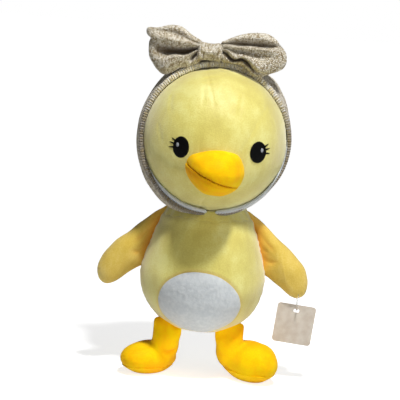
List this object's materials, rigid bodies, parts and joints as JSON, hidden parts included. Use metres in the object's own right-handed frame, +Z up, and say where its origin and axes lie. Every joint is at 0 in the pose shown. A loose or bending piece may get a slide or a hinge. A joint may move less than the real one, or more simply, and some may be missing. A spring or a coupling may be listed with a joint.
{
  "type": "plush duck",
  "caption": "Plush duck standing on flat soles, with a stuffed bill, pillow wings, a white belly patch, a lined knitted hood with a bow on top and a blank hang tag on one wing.",
  "frame": {"origin": "on the floor between the soles, under the middle of the whole duck's box", "axes": "+Z up from the soles to the bow, -Y the way the face looks, +X towards the duck's left wing, which holds the hang tag"},
  "size_m": [0.1884, 0.1378, 0.2961],
  "materials": {
    "yellow_velour": "short velour pile",
    "gold_velour": "short velour pile",
    "amber_velour": "short velour pile",
    "melange_knit": "chunky melange knit",
    "white_plush": "soft brushed plush",
    "black_thread": "satin embroidery thread",
    "pale_thread": "satin embroidery thread",
    "polyester_fibre": "loose fibre",
    "card": "uncoated card",
    "clear_nylon": "clear"
  },
  "bodies": {
    "body": {"body_panel_front": "yellow_velour", "body_panel_back": "yellow_velour", "body_fill": "polyester_fibre", "belly_patch": "white_plush"},
    "neck": {"neck_skin": "yellow_velour", "neck_fill": "polyester_fibre"},
    "head": {"head_panel_right": "yellow_velour", "head_panel_left": "yellow_velour", "head_panel_back": "yellow_velour", "head_fill": "polyester_fibre", "bill_upper": "amber_velour", "bill_lower": "amber_velour", "bill_fill": "polyester_fibre", "eye_right": "black_thread", "eye_left": "black_thread", "eye_glint_right": "pale_thread", "eye_glint_left": "pale_thread", "hood_lining": "white_plush", "hood_knit": "melange_knit", "bow_knot": "melange_knit"},
    "bow_right": {"bow_loop_right": "melange_knit"},
    "bow_left": {"bow_loop_left": "melange_knit"},
    "wing_right": {"wing_right_front": "gold_velour", "wing_right_back": "gold_velour", "wing_right_fill": "polyester_fibre"},
    "wing_left": {"wing_left_front": "gold_velour", "wing_left_back": "gold_velour", "wing_left_fill": "polyester_fibre"},
    "leg_right": {"leg_right_upper": "amber_velour", "leg_right_sole": "amber_velour", "leg_right_fill": "polyester_fibre"},
    "leg_left": {"leg_left_upper": "amber_velour", "leg_left_sole": "amber_velour", "leg_left_fill": "polyester_fibre"},
    "tag": {"tag_loop": "clear_nylon", "tag_card": "card"}
  },
  "joints": [
    {"name": "head_turn", "type": "hinge", "parent": "body", "child": "neck", "pos_m": [-0.00447, 0.00796, 0.144], "axis": [0, 0, 1], "range_deg": [-30, 30], "stiffness_Nm_per_rad": 0.05},
    {"name": "head_nod", "type": "hinge", "parent": "neck", "child": "head", "pos_m": [-0.00447, 0.00796, 0.144], "axis": [1, 0, 0], "range_deg": [-10, 10], "stiffness_Nm_per_rad": 0.4},
    {"name": "wing_right_swing", "type": "hinge", "parent": "body", "child": "wing_right", "pos_m": [-0.04457, 0.00796, 0.1385], "axis": [0.2848, 0, 0.9586], "range_deg": [-45, 45], "stiffness_Nm_per_rad": 0.02},
    {"name": "wing_left_swing", "type": "hinge", "parent": "body", "child": "wing_left", "pos_m": [0.03563, 0.00796, 0.1385], "axis": [0.2848, 0, -0.9586], "range_deg": [-45, 45], "stiffness_Nm_per_rad": 0.02},
    {"name": "leg_right_swing", "type": "hinge", "parent": "body", "child": "leg_right", "pos_m": [-0.03147, -0.00504, 0.038], "axis": [-1, 0, 0], "range_deg": [-30, 80], "stiffness_Nm_per_rad": 1.5},
    {"name": "leg_left_swing", "type": "hinge", "parent": "body", "child": "leg_left", "pos_m": [0.02253, -0.00504, 0.038], "axis": [-1, 0, 0], "range_deg": [-30, 80], "stiffness_Nm_per_rad": 1.5},
    {"name": "bow_right_lift", "type": "hinge", "parent": "head", "child": "bow_right", "pos_m": [-0.02517, 0.00096, 0.2732], "axis": [0, 1, 0], "range_deg": [0, 25], "stiffness_Nm_per_rad": 0.01},
    {"name": "bow_left_lift", "type": "hinge", "parent": "head", "child": "bow_left", "pos_m": [0.00023, 0.00096, 0.2732], "axis": [0, -1, 0], "range_deg": [0, 25], "stiffness_Nm_per_rad": 0.01},
    {"name": "tag_swing", "type": "hinge", "parent": "wing_left", "child": "tag", "pos_m": [0.07766, 0.00796, 0.07898], "axis": [0, 1, 0], "range_deg": [-60, 30]}
  ]
}
